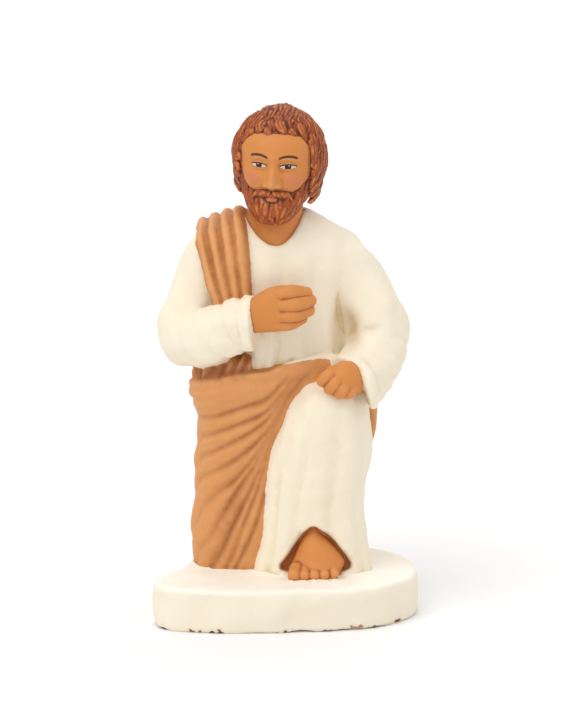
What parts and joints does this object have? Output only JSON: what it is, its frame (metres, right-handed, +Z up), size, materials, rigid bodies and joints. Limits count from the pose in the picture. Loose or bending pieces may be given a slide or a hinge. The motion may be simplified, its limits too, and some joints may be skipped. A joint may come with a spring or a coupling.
{
  "type": "kneeling santon figure",
  "caption": "Small painted clay nativity figure: a bearded man in a cream tunic and a draped tan cloak, kneeling on one knee on an oval base.",
  "frame": {"origin": "middle of the base's underside, where the figure stands", "axes": "+Z up, the man faces -Y, and his left hand is towards +X"},
  "size_m": [0.0294, 0.0244, 0.0569],
  "materials": {
    "clay": "hand-painted with matt to satin paint over unglazed clay"
  },
  "bodies": {
    "root": {"kneeling_figure": "clay"}
  },
  "joints": []
}
